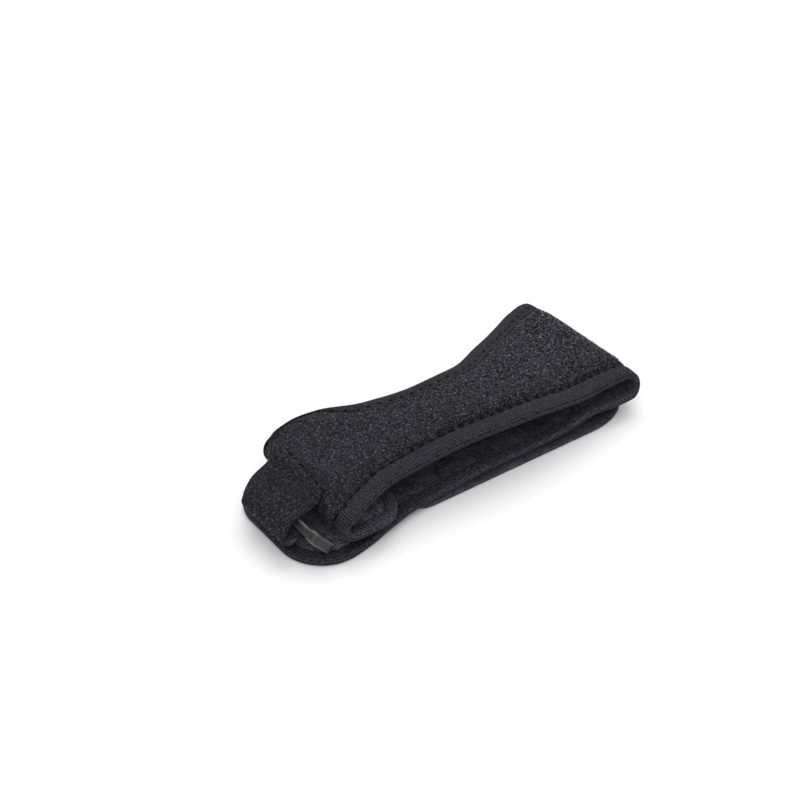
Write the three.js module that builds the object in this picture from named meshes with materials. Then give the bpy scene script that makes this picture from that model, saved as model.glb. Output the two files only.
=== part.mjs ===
import * as THREE from 'three';

// Thicknesses, mm
const bandWall = 3.0; // padded band
const bandEdgeWall = 1.2; // band pressed thin inside its binding
const tapeThickness = 0.7; // elastic binding
const outerReach = 7.6; // how far the binding reaches in over the outer face
const innerReach = 5; // and over the inner face
const seat = 0.2; // clearance between band and binding
const tabWall = 1.6; // doubled ring tab
const tabSeamShare = 0.55; // share of the tab's wall left where it is pressed flat at its seam
const tabSeamRun = 6; // how far from the seam the tab takes to reach its full wall
const strapWall = 2.4; // closing strap
const seamSlant = 2.6; // how much later the tab starts at its near edge
const hemCorner = 13; // corner radius of the folded-under end
const tongueCorner = 18; // corner radius of the tongue

// Turns of the band, centre line in x and z; the twist draws in the far side at the middle of the turn
const hemRoll = { x: -59.2, z: 12.5, radius: 3.8, twist: -0.7 };
const rightFold = { x: 81.6, z: 12.0, radius: 3.6, twist: 0 };

// Ring of moulded plastic with deeper ends, standing at a slant in its tab
const ring = { length: 43, bar: 3.2, depth: 3.2, spacing: 9.0, corner: 3.4, ease: 0.9 };
const ringEnd = { depth: 4.4, length: 4.2, ramp: 1.4 };
const ringPlace = { slant: 49.5, x: -70.7, y: -12.3, z: 8.7 };

// Closing strap lying flat on the table
const strap = { left: -30, right: 85, near: -30.6, far: 20, leftCorner: 10, endCorner: 16.5, endRun: 25 };

// Band from the folded-under end to the tongue: centre line x and z, edges far and near, crown of the
// middle above the edges and tilt of the far edge above the near one, both 0 where not given
const hemRows = [
  { x: -35, z: 8.7, far: 16, near: -36.4 },
  { x: -46, z: 8.7, far: 16, near: -37.6 },
  { x: -54, z: 8.7, far: 17.5, near: -37.6, tilt: -1.6 },
];
const topRows = [
  { x: -54, z: 16.5, far: 25, near: -34.2, crown: 0.3 },
  { x: -46, z: 17.2, far: 26.2, near: -31.3, crown: 1.2 },
  { x: -36, z: 18.5, far: 24, near: -29.2, crown: 1.7 },
  { x: -20, z: 20.4, far: 15.5, near: -29, crown: 1.7 },
  { x: 0, z: 21.7, far: 11.6, near: -30, crown: 1.7 },
  { x: 20, z: 21.5, far: 13.4, near: -30.8, crown: 1.7 },
  { x: 42, z: 19.3, far: 23, near: -30.2, crown: 1.8 },
  { x: 60, z: 17.0, far: 32.3, near: -28.4, crown: 1.8, tilt: 0.5 },
  { x: 72, z: 15.9, far: 38, near: -27, crown: 1.6, tilt: 1.0 },
];
const lowRows = [
  { x: 72, z: 8.3, far: 38, near: -30.6, crown: 0.6, tilt: 0.2 },
  { x: 66, z: 8.6, far: 35.2, near: -30.1, crown: 0.4 },
  { x: 61, z: 8.3, far: 32.8, near: -29.5, crown: 0.3 },
  { x: 53, z: 5.9, far: 28.5, near: -29, crown: 0.2 },
  { x: 44, z: 4.5, far: 24, near: -29, crown: 0.1 },
  { x: 28, z: 4.3, far: 16.5, near: -29 },
  { x: 8, z: 4.3, far: 12.5, near: -29.2 },
  { x: -14, z: 4.3, far: 14, near: -30.6 },
  { x: -30, z: 4.2, far: 18, near: -31.8 },
  { x: -42, z: 3.0, far: 20, near: -33.8 },
  { x: -52, z: 1.7, far: 20, near: -35.8 },
  { x: -60, z: 1.5, far: 20, near: -37.2 },
  { x: -61, z: 1.5, far: 20, near: -37.3 },
  { x: -70, z: 1.5, far: 20, near: -37.6 },
  { x: -80, z: 1.5, far: 20, near: -37.6 },
];

// Ring tab from its seam, over the hem, round the ring and back: centre line and edges
const tabRows = [
  { x: -56.8, z: 18.85, far: 7, near: -18.6 },
  { x: -59.4, z: 18.75, far: 8.6, near: -19.3 },
  { x: -62.4, z: 18.0, far: 10.6, near: -20.2 },
  { x: -64.7, z: 16.5, far: 11.3, near: -20.9 },
  { x: -68, z: 15.6, far: 10.5, near: -21.6 },
  { x: -75, z: 15.2, far: 7.5, near: -23.1 },
  { x: -79.5, z: 13.8, far: 4.6, near: -24.8 },
  { x: -82.2, z: 11.0, far: 2.6, near: -26.2 },
  { x: -80.5, z: 8.7, far: 2.6, near: -26 },
  { x: -76.5, z: 8.4, far: 3, near: -24.8 },
  { x: -72, z: 9.2, far: 4, near: -20.5 },
  { x: -68.5, z: 10.9, far: 4.6, near: -16.5 },
  { x: -65.4, z: 12.4, far: 5, near: -14 },
];

// Rows round a half turn, edges, crown and tilt running evenly from the first set to the second
function turnRows(turn, startAngle, endAngle, from, to) {
  const rows = [];
  const steps = 6;
  for (let i = 0; i <= steps; i += 1) {
    const t = i / steps;
    const angle = THREE.MathUtils.degToRad(THREE.MathUtils.lerp(startAngle, endAngle, t));
    rows.push({
      x: turn.x + turn.radius * Math.cos(angle),
      z: turn.z + turn.radius * Math.sin(angle),
      far: THREE.MathUtils.lerp(from.far, to.far, t),
      near: THREE.MathUtils.lerp(from.near, to.near, t),
      crown: THREE.MathUtils.lerp(from.crown, to.crown, t),
      tilt: THREE.MathUtils.lerp(from.tilt, to.tilt, t) + turn.twist * Math.sin(Math.PI * t),
    });
  }
  return rows;
}

const hemTurn = {
  from: { far: 18.5, near: -37.4, crown: 0, tilt: -2.4 },
  to: { far: 22, near: -36.6, crown: 0, tilt: 0 },
};
const foldTurn = {
  from: { far: 40.5, near: -26.6, crown: 1.2, tilt: 1.2 },
  to: { far: 40.5, near: -30.4, crown: 0.8, tilt: 0.4 },
};
const bandRows = [
  ...hemRows,
  ...turnRows(hemRoll, 270, 90, hemTurn.from, hemTurn.to),
  ...topRows,
  ...turnRows(rightFold, 90, -90, foldTurn.from, foldTurn.to),
  ...lowRows,
];

// Smooth curve through values at rising stations that never overshoots them
function gradual(stations, values) {
  const n = stations.length;
  const slope = [];
  for (let i = 0; i < n - 1; i += 1) {
    slope.push((values[i + 1] - values[i]) / (stations[i + 1] - stations[i]));
  }
  const tangent = [slope[0]];
  for (let i = 1; i < n - 1; i += 1) {
    const same = slope[i - 1] * slope[i] > 0;
    tangent.push(same ? 2 / (1 / slope[i - 1] + 1 / slope[i]) : 0);
  }
  tangent.push(slope[n - 2]);
  return (s) => {
    let i = 0;
    while (i < n - 2 && s > stations[i + 1]) {
      i += 1;
    }
    const h = stations[i + 1] - stations[i];
    const t = THREE.MathUtils.clamp((s - stations[i]) / h, 0, 1);
    const a = 2 * t ** 3 - 3 * t ** 2 + 1;
    const b = t ** 3 - 2 * t ** 2 + t;
    const c = -2 * t ** 3 + 3 * t ** 2;
    const d = t ** 3 - t ** 2;
    return a * values[i] + b * h * tangent[i] + c * values[i + 1] + d * h * tangent[i + 1];
  };
}

// A run of cloth: rows become a centre line measured along its length, with edges at each station
function makeRun(rows) {
  const points = rows.map((row) => new THREE.Vector3(row.x, 0, row.z));
  const curve = new THREE.CatmullRomCurve3(points, false, 'centripetal');
  const perSpan = 40;
  const dense = curve.getPoints((rows.length - 1) * perSpan);
  const along = [0];
  for (let i = 1; i < dense.length; i += 1) {
    along.push(along[i - 1] + dense[i].distanceTo(dense[i - 1]));
  }
  const stations = rows.map((row, i) => along[i * perSpan]);
  const length = along[along.length - 1];
  const at = (s) => {
    let low = 0;
    let high = along.length - 1;
    while (high - low > 1) {
      const mid = (low + high) >> 1;
      if (along[mid] > s) {
        high = mid;
      } else {
        low = mid;
      }
    }
    const t = (s - along[low]) / (along[high] - along[low]);
    return dense[low].clone().lerp(dense[high], t);
  };
  const column = (name) => gradual(stations, rows.map((row) => row[name] ?? 0));
  const run = { length, at };
  for (const name of ['far', 'near', 'crown', 'tilt']) {
    run[name] = column(name);
  }
  run.normal = (s) => {
    const a = at(Math.max(0, s - 0.4));
    const b = at(Math.min(length, s + 0.4));
    return new THREE.Vector3(a.z - b.z, 0, b.x - a.x).normalize();
  };
  run.place = (s, y, height) => {
    const near = run.near(s);
    const across = (2 * (y - near)) / (run.far(s) - near) - 1;
    const crown = run.crown(s) * Math.max(0, 1 - across ** 4);
    const lift = height + crown + (run.tilt(s) * (1 + across)) / 2;
    return at(s).addScaledVector(run.normal(s), lift).setY(y);
  };
  return run;
}

// Distance across a run for each mm square to its slanted edge
function edgeSpread(run, s, side) {
  const edge = side > 0 ? run.far : run.near;
  const before = Math.max(0, s - 0.5);
  const after = Math.min(run.length, s + 0.5);
  return Math.hypot(1, (edge(after) - edge(before)) / (after - before));
}

// Edge of a run at a station, moved in from the cut edge, with both ends rounded
function edgeAt(run, s, side, inset, startCorner, endCorner) {
  const edge = side > 0 ? run.far : run.near;
  let back = inset * edgeSpread(run, s, side);
  for (const [room, corner] of [[s, startCorner], [run.length - s, endCorner]]) {
    const radius = corner - inset;
    const reach = radius - (room - inset);
    if (reach > 0) {
      back += radius - Math.sqrt(Math.max(0, radius ** 2 - reach ** 2));
    }
  }
  return edge(s) - side * back;
}

// Stations close together on the turns and at the rounded ends, further apart on the flat runs
function spacedStations(run, inset, startCorner, endCorner, turns, flatStep, turnStep) {
  const list = [];
  const arcSteps = 7;
  for (let i = 0; i <= arcSteps; i += 1) {
    const open = 1 - Math.cos((i / arcSteps) * (Math.PI / 2));
    list.push(inset + (startCorner - inset) * open);
    list.push(run.length - inset - (endCorner - inset) * open);
  }
  let s = startCorner;
  const last = run.length - endCorner;
  while (s < last) {
    const p = run.at(s);
    const turning = turns.some((turn) => Math.hypot(p.x - turn.x, p.z - turn.z) < turn.radius + 1.2);
    s += turning ? turnStep : flatStep;
    if (s < last - turnStep) {
      list.push(s);
    }
  }
  return list.sort((a, b) => a - b);
}

// Closed solid from vertices and faces
function solid(points, faces) {
  const geometry = new THREE.BufferGeometry();
  const position = points.flatMap((p) => [p.x, p.y, p.z]);
  geometry.setAttribute('position', new THREE.Float32BufferAttribute(position, 3));
  geometry.setIndex(faces);
  geometry.computeVertexNormals();
  return geometry;
}

// Skin over rings of points, each ring a closed section, with the first and last ring closed or joined
function skin(rings, joined) {
  const count = rings[0].length;
  const points = rings.flat();
  const faces = [];
  const spans = joined ? rings.length : rings.length - 1;
  for (let i = 0; i < spans; i += 1) {
    const a = i * count;
    const b = ((i + 1) % rings.length) * count;
    for (let j = 0; j < count; j += 1) {
      const k = (j + 1) % count;
      faces.push(a + j, b + j, b + k, a + j, b + k, a + k);
    }
  }
  if (!joined) {
    const last = (rings.length - 1) * count;
    for (let j = 1; j < count / 2; j += 1) {
      const other = count - 1 - j;
      faces.push(j - 1, j, count - j, j, other, count - j);
      faces.push(last + j, last + j - 1, last + count - j, last + other, last + j, last + count - j);
    }
  }
  return solid(points, faces);
}

const band = makeRun(bandRows);
const turns = [hemRoll, rightFold];

// Outline of the band in its own flat pattern: along and across, run round once
function bandOutline(inset, flatStep, turnStep) {
  const stations = spacedStations(band, inset, hemCorner, tongueCorner, turns, flatStep, turnStep);
  const side = (s, sign) => new THREE.Vector2(s, edgeAt(band, s, sign, inset, hemCorner, tongueCorner));
  const near = stations.map((s) => side(s, -1));
  const far = stations.map((s) => side(s, 1)).reverse();
  const across = (from, to) => {
    const steps = Math.max(2, Math.round(from.distanceTo(to) / 6));
    return Array.from({ length: steps - 1 }, (_, i) => from.clone().lerp(to, (i + 1) / steps));
  };
  return [...near, ...across(near[near.length - 1], far[0]), ...far, ...across(far[far.length - 1], near[0])];
}

// How far a point of the flat pattern lies from an outline
function insideBy(outline, s, y) {
  const p = new THREE.Vector3(s, y, 0);
  const nearest = new THREE.Vector3();
  let best = Infinity;
  for (let i = 0; i < outline.length; i += 1) {
    const a = outline[i];
    const b = outline[(i + 1) % outline.length];
    const line = new THREE.Line3(new THREE.Vector3(a.x, a.y, 0), new THREE.Vector3(b.x, b.y, 0));
    line.closestPointToPoint(p, true, nearest);
    best = Math.min(best, nearest.distanceTo(p));
  }
  return best;
}

// Padded band: a grid of the flat pattern, thin under the binding, folded along its run
function makeBand() {
  const inset = tapeThickness + 2 * seat;
  const outline = bandOutline(0, 4, 1.1);
  const stations = spacedStations(band, inset, hemCorner, tongueCorner, turns, 6, 1.1);
  for (const reach of [innerReach, outerReach]) {
    for (const step of [reach + 0.5, reach + 2]) {
      stations.push(step, band.length - step);
    }
  }
  stations.sort((a, b) => a - b);
  const rings = [];
  for (const s of stations) {
    const near = edgeAt(band, s, -1, inset, hemCorner, tongueCorner);
    const far = edgeAt(band, s, 1, inset, hemCorner, tongueCorner);
    const width = far - near;
    const onLongEdge = s > hemCorner && s < band.length - tongueCorner;
    const face = (reach, sign) => {
      const border = (side) => {
        const spread = edgeSpread(band, s, side);
        return [reach + 0.5, reach + 2].map((edge) => Math.min((edge - inset) * spread, width * 0.3));
      };
      const farBorder = border(1).map((step) => width - step).reverse();
      const columns = [0, ...border(-1), width * 0.5, ...farBorder, width];
      return columns.map((column, j) => {
        const y = near + column;
        const clear = onLongEdge || insideBy(outline, s, y) > reach + 1.7;
        const thick = clear && j > 1 && j < columns.length - 2 ? bandWall : bandEdgeWall;
        return band.place(s, y, (sign * thick) / 2);
      });
    };
    rings.push([...face(outerReach, 1), ...face(innerReach, -1).reverse()]);
  }
  return skin(rings, false);
}

// Elastic binding: a folded tape carried round the outline of the band
function makeBinding() {
  const outline = bandOutline(0, 6, 1.1);
  const half = bandWall / 2;
  const inner = half - tapeThickness;
  const section = [
    [outerReach, inner],
    [tapeThickness + seat, inner],
    [tapeThickness + seat, -inner],
    [innerReach, -inner],
    [innerReach, -half],
    [0.7, -half],
    [0, 0.7 - half],
    [0, half - 0.7],
    [0.7, half],
    [outerReach, half],
  ];
  const rings = outline.map((point, i) => {
    const before = outline[(i + outline.length - 1) % outline.length];
    const after = outline[(i + 1) % outline.length];
    const run = after.clone().sub(before).normalize();
    const onLongEdge = point.x > hemCorner && point.x < band.length - tongueCorner;
    const inward = onLongEdge ? new THREE.Vector2(0, 1 / run.x) : new THREE.Vector2(-run.y, run.x);
    return section.map(([reach, height]) => {
      const p = point.clone().addScaledVector(inward, reach);
      return band.place(p.x, p.y, height);
    });
  });
  return skin(rings, true);
}

// Doubled tab round the ring
function makeTab() {
  const run = makeRun(tabRows);
  const rings = [];
  const steps = 44;
  for (let i = 0; i <= steps; i += 1) {
    const s = (run.length * i) / steps;
    const near = run.near(s);
    const far = run.far(s);
    const shares = [0, 0.02, 0.5, 0.98, 1];
    const wall = tabWall * THREE.MathUtils.lerp(tabSeamShare, 1, Math.min(1, s / tabSeamRun));
    const thick = [0.5, 1, 1, 1, 0.5].map((share) => (share * wall) / 2);
    const face = (sign) => shares.map((share, j) => {
      const late = seamSlant * (1 - share) * (1 - i / steps);
      return run.place(s + late, THREE.MathUtils.lerp(near, far, share), sign * thick[j]);
    });
    rings.push([...face(1), ...face(-1).reverse()]);
  }
  return skin(rings, false);
}

// Rectangle with rounded corners as a drawing path
function roundedBox(path, left, right, low, high, leftRadius, endRun, endRadius) {
  path.moveTo(left + leftRadius, low);
  path.lineTo(right - endRun, low);
  path.absellipse(right - endRun, low + endRadius, endRun, endRadius, -Math.PI / 2, 0, false, 0);
  path.absellipse(right - endRun, high - endRadius, endRun, endRadius, 0, Math.PI / 2, false, 0);
  path.absarc(left + leftRadius, high - leftRadius, leftRadius, Math.PI / 2, Math.PI, false);
  path.absarc(left + leftRadius, low + leftRadius, leftRadius, Math.PI, Math.PI * 1.5, false);
  return path;
}

// Path of the ring's bar, once round, with the outward way at each point
function ringPath() {
  const halfLong = ring.length / 2 - ring.bar / 2;
  const halfWide = ring.spacing / 2;
  const radius = ring.corner - ring.bar / 2;
  const cornerSteps = 5;
  const path = [];
  for (const [k, [sx, sy]] of [[1, 1], [-1, 1], [-1, -1], [1, -1]].entries()) {
    for (let i = 0; i <= cornerSteps; i += 1) {
      const angle = ((k + i / cornerSteps) * Math.PI) / 2;
      const way = new THREE.Vector2(Math.cos(angle), Math.sin(angle));
      const middle = new THREE.Vector2(sx * (halfLong - radius), sy * (halfWide - radius));
      path.push({ at: middle.addScaledVector(way, radius), way });
    }
    if (sx === sy) {
      const outer = ring.length / 2 - ringEnd.length + ringEnd.ramp;
      const inner = outer - 2 * ringEnd.ramp;
      for (const x of [outer, inner, -inner, -outer]) {
        path.push({ at: new THREE.Vector2(sx * x, sy * halfWide), way: new THREE.Vector2(0, sy) });
      }
    }
  }
  return path;
}

// Moulded ring: a rounded bar carried round the path, deeper at both ends, turned to its slant
function makeRing() {
  const rings = ringPath().map(({ at, way }) => {
    const toEnd = ring.length / 2 - Math.abs(at.x);
    const share = THREE.MathUtils.clamp((ringEnd.length + ringEnd.ramp - toEnd) / (2 * ringEnd.ramp), 0, 1);
    const depth = THREE.MathUtils.lerp(ring.depth, ringEnd.depth, share) / 2;
    const bar = ring.bar / 2;
    const section = [
      [bar, depth - ring.ease],
      [bar - ring.ease, depth],
      [ring.ease - bar, depth],
      [-bar, depth - ring.ease],
      [-bar, ring.ease - depth],
      [ring.ease - bar, -depth],
      [bar - ring.ease, -depth],
      [bar, ring.ease - depth],
    ];
    return section.map(([out, height]) => {
      const p = at.clone().addScaledVector(way, out);
      return new THREE.Vector3(p.x, p.y, height);
    });
  });
  const geometry = skin(rings, true);
  geometry.rotateZ(Math.PI / 2);
  geometry.rotateY(THREE.MathUtils.degToRad(ringPlace.slant));
  geometry.translate(ringPlace.x, ringPlace.y, ringPlace.z);
  return geometry;
}

// Closing strap: a flat strap with a rounded free end
function makeStrap() {
  const ease = 0.5;
  const shape = roundedBox(
    new THREE.Shape(),
    strap.left + ease,
    strap.right - ease,
    strap.near + ease,
    strap.far - ease,
    strap.leftCorner - ease,
    strap.endRun - ease,
    strap.endCorner - ease,
  );
  const geometry = new THREE.ExtrudeGeometry(shape, {
    depth: strapWall - 2 * ease,
    bevelEnabled: true,
    bevelThickness: ease,
    bevelSize: ease,
    bevelSegments: 2,
    curveSegments: 10,
  });
  return geometry.translate(0, 0, ease);
}

// Pieces with their own colours
const pieces = [
  { name: 'band', geometry: makeBand(), color: 0x1d1e21, roughness: 0.95 },
  { name: 'edge_binding', geometry: makeBinding(), color: 0x1b1c1f, roughness: 0.8 },
  { name: 'ring_tab', geometry: makeTab(), color: 0x1e1f22, roughness: 0.95 },
  { name: 'ring', geometry: makeRing(), color: 0x4a4b4d, roughness: 0.4 },
  { name: 'closing_strap', geometry: makeStrap(), color: 0x18191b, roughness: 0.9 },
];

// The brace stands on z = 0 with its outline centred on the origin
const bounds = new THREE.Box3();
for (const piece of pieces) {
  piece.geometry.computeBoundingBox();
  bounds.union(piece.geometry.boundingBox);
}
const centre = bounds.getCenter(new THREE.Vector3());
const brace = new THREE.Group();
brace.name = 'patellar_brace';
for (const piece of pieces) {
  piece.geometry.translate(-centre.x, -centre.y, -bounds.min.z);
  const material = new THREE.MeshStandardMaterial({ color: piece.color, roughness: piece.roughness });
  const mesh = new THREE.Mesh(piece.geometry, material);
  mesh.name = piece.name;
  brace.add(mesh);
}

export default brace;
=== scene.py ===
# Patellar knee brace: cloth, tape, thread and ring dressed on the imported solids
import math
from functools import partial

import bpy
import numpy as np
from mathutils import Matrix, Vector
from mathutils.kdtree import KDTree


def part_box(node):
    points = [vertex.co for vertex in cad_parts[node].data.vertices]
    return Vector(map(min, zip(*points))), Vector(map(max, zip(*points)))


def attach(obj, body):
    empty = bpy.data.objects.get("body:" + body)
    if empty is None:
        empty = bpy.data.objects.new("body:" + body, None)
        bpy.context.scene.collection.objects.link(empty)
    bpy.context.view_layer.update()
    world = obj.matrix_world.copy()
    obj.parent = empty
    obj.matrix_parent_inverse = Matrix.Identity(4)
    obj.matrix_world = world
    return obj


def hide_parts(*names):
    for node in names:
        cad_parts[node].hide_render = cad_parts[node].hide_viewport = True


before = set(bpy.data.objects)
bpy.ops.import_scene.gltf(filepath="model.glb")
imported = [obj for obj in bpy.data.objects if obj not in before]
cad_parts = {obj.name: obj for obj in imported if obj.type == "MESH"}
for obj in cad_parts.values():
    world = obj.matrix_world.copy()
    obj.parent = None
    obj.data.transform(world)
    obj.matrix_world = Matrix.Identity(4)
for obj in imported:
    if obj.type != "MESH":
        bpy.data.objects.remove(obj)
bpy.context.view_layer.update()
mm = 0.001
print("frame loaded:", ", ".join(sorted(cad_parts)))

# the closing strap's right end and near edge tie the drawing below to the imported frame
drawing = {"strapRight": 85.0, "strapNear": -30.6}
strapLow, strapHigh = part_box("closing_strap")
zeroX = strapHigh.x / mm - drawing["strapRight"]
zeroY = strapLow.y / mm - drawing["strapNear"]
drawingZero = np.array([zeroX, zeroY, 0.0])


# camera, floor and light
studio = {
    "azimuth": -36.2,
    "elevation": 34.48,
    "distance": 577.87,
    "aim": (11.0, 33.5, 0.0),
    "lens": 63.0,
    "sensor": 36.0,
    "floorSize": 8.0,
    "floorColour": "#fdfdfd",
    "worldStrength": 0.66,
    "panels": {
        "overhead panel": {"place": (0.35, 0.4, 0.8), "size": 1.0, "power": 4.3},
        "front panel": {"place": (-0.42, -0.52, 0.75), "size": 0.9, "power": 3.3},
    },
}


def linear(hexColour):
    # sRGB hex to linear
    channels = [int(hexColour[i:i + 2], 16) / 255 for i in (1, 3, 5)]
    return [c / 12.92 if c <= 0.04045 else ((c + 0.055) / 1.055) ** 2.4 for c in channels] + [1.0]


def addNode(tree, kind, values=None):
    # one node: a node or socket given for an input is linked to it, any other value is set
    node = tree.nodes.new(kind if "Node" in kind else "ShaderNode" + kind)
    for name, value in (values or {}).items():
        if isinstance(value, bpy.types.Node):
            value = next(out for out in value.outputs if out.enabled)
        if isinstance(value, bpy.types.NodeSocket):
            tree.links.new(value, node.inputs[name])
        elif isinstance(name, str) and hasattr(node, name):
            setattr(node, name, value)
        else:
            node.inputs[name].default_value = value
    return node


def newMaterial(name, grains):
    # an empty material, and a noise for each grain: its size in mm and its detail
    material = bpy.data.materials.new(name)
    material.use_nodes = True
    material.node_tree.nodes.clear()
    add = partial(addNode, material.node_tree)
    place = add("TexCoord").outputs["Object"]
    noises = (
        add("TexNoise", {"Scale": 1 / (size * mm), "Detail": detail, "Vector": place})
        for size, detail in grains
    )
    return material, add, place, *noises


def addObject(name, data):
    thing = bpy.data.objects.new(name, data)
    bpy.context.scene.collection.objects.link(thing)
    return thing


def aimObject(thing, place, way):
    thing.location = place
    thing.rotation_mode = "QUATERNION"
    thing.rotation_quaternion = way.to_track_quat("-Z", "Y")


def makeStudio():
    scene = bpy.context.scene
    scene.view_settings.view_transform = "Standard"
    aim = Vector(drawingZero + np.array(studio["aim"])) * mm
    turn, rise = math.radians(studio["azimuth"]), math.radians(studio["elevation"])
    back = Vector((math.sin(turn) * math.cos(rise), -math.cos(turn) * math.cos(rise), math.sin(rise)))
    lens = bpy.data.cameras.new("camera")
    lens.lens = studio["lens"]
    lens.sensor_width = studio["sensor"]
    lens.clip_start = 0.01
    scene.camera = addObject("camera", lens)
    aimObject(scene.camera, aim + back * studio["distance"] * mm, -back)

    # matte white table
    half = studio["floorSize"] / 2
    floorMesh = bpy.data.meshes.new("floor")
    corners = [(-half, -half, 0), (half, -half, 0), (half, half, 0), (-half, half, 0)]
    floorMesh.from_pydata(corners, [], [(0, 1, 2, 3)])
    paper = bpy.data.materials.new("white paper sweep")
    paper.use_nodes = True
    matte = paper.node_tree.nodes["Principled BSDF"].inputs
    matte["Base Color"].default_value = linear(studio["floorColour"])
    matte["Roughness"].default_value = 1.0
    matte["Specular IOR Level"].default_value = 0.0
    floorMesh.materials.append(paper)
    addObject("floor", floorMesh)

    # even white surround, a soft panel above and a broad one on the viewer's side
    world = bpy.data.worlds.new("white surround")
    world.use_nodes = True
    sky = world.node_tree.nodes["Background"]
    sky.inputs["Color"].default_value = (1, 1, 1, 1)
    sky.inputs["Strength"].default_value = studio["worldStrength"]
    scene.world = world
    for name, panel in studio["panels"].items():
        light = bpy.data.lights.new(name, "AREA")
        light.shape = "DISK"
        light.size = panel["size"]
        light.energy = panel["power"]
        aimObject(addObject(name, light), panel["place"], -Vector(panel["place"]))
    print("studio ready")


# runs of cloth: rows along a strip, its centre line in x and z, its two edges and its crosswise arch
rowSpan = 40  # points of the dense line from row to row
turnSteps = 7  # rows round a half turn


def curveThrough(points):
    # centripetal curve through the rows as a dense line
    ends = np.vstack([2 * points[0] - points[1], points, 2 * points[-1] - points[-2]])
    t = np.linspace(0, 1, rowSpan, endpoint=False)[:, None]
    line = []
    for a, b, c, d in zip(ends[:-3], ends[1:-2], ends[2:-1], ends[3:]):
        before, here, after = (np.linalg.norm(q - p) ** 0.5 for p, q in ((a, b), (b, c), (c, d)))
        leave = ((b - a) / before - (c - a) / (before + here) + (c - b) / here) * here
        arrive = ((c - b) / here - (d - b) / (here + after) + (d - c) / after) * here
        bend = t ** 2 * (3 * (c - b) - 2 * leave - arrive)
        line.append(b + t * leave + bend + t ** 3 * (2 * (b - c) + leave + arrive))
    return np.vstack([*line, points[-1:]])


def gradual(stations, values, s):
    # smooth curve through values that never overshoots them
    slope = np.diff(values) / np.diff(stations)
    same = slope[:-1] * slope[1:] > 0
    safe = np.where(same, slope[:-1] + slope[1:], 1.0)
    middle = np.where(same, 2 * slope[:-1] * slope[1:] / safe, 0.0)
    tangent = np.concatenate([slope[:1], middle, slope[-1:]])
    i = np.clip(np.searchsorted(stations, s) - 1, 0, len(stations) - 2)
    step = stations[i + 1] - stations[i]
    t = np.clip((s - stations[i]) / step, 0, 1)
    start = (2 * t ** 3 - 3 * t ** 2 + 1) * values[i] + (t ** 3 - 2 * t ** 2 + t) * step * tangent[i]
    end = (3 * t ** 2 - 2 * t ** 3) * values[i + 1] + (t ** 3 - t ** 2) * step * tangent[i + 1]
    return start + end


def lengthAlong(line):
    return np.concatenate([[0], np.cumsum(np.linalg.norm(np.diff(line, axis=0), axis=1))])


def makeRun(rows):
    table = np.array([(*row, 0, 0)[:6] for row in rows], float)
    line = curveThrough(table[:, :2])
    along = lengthAlong(line)
    run = {"line": line, "along": along, "stations": along[::rowSpan], "length": along[-1]}
    for column, name in enumerate(("far", "near", "arch", "tilt"), start=2):
        run[name] = table[:, column]
    return run


def unit(vectors):
    return vectors / np.linalg.norm(vectors, axis=-1, keepdims=True)


def pointsAt(at, along, line):
    return np.stack([np.interp(at, along, line[:, k]) for k in (0, 1)], -1)


def lineAt(run, s):
    return pointsAt(s, run["along"], run["line"])


def edgeOf(run, name, s):
    return gradual(run["stations"], run[name], s)


def placeOn(run, s, y, lift):
    # a point of the flat pattern, raised off the centre line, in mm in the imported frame
    s, y, lift = np.broadcast_arrays(np.asarray(s, float), y, lift)
    near, far = edgeOf(run, "near", s), edgeOf(run, "far", s)
    across = 2 * (y - near) / (far - near) - 1
    crown = edgeOf(run, "arch", s) * np.maximum(0, 1 - across ** 4)
    rise = lift + crown + edgeOf(run, "tilt", s) * (1 + across) / 2
    reach = 0.5
    ahead = unit(lineAt(run, np.minimum(s + reach, run["length"])) - lineAt(run, np.maximum(s - reach, 0)))
    middle = lineAt(run, s)
    x = middle[..., 0] - ahead[..., 1] * rise
    z = middle[..., 1] + ahead[..., 0] * rise
    return np.stack([x, y, z], -1) + drawingZero


def turnRows(turn, startAngle, endAngle, start, end):
    # rows round a half turn, edges running evenly from the first set to the second
    rows = []
    for t in np.linspace(0, 1, turnSteps):
        angle = math.radians(startAngle + (endAngle - startAngle) * t)
        far, near, arch, tilt = (a + (b - a) * t for a, b in zip(start, end))
        x = turn["x"] + turn["radius"] * math.cos(angle)
        z = turn["z"] + turn["radius"] * math.sin(angle)
        rows.append((x, z, far, near, arch, tilt + turn["twist"] * math.sin(math.pi * t)))
    return rows


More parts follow.
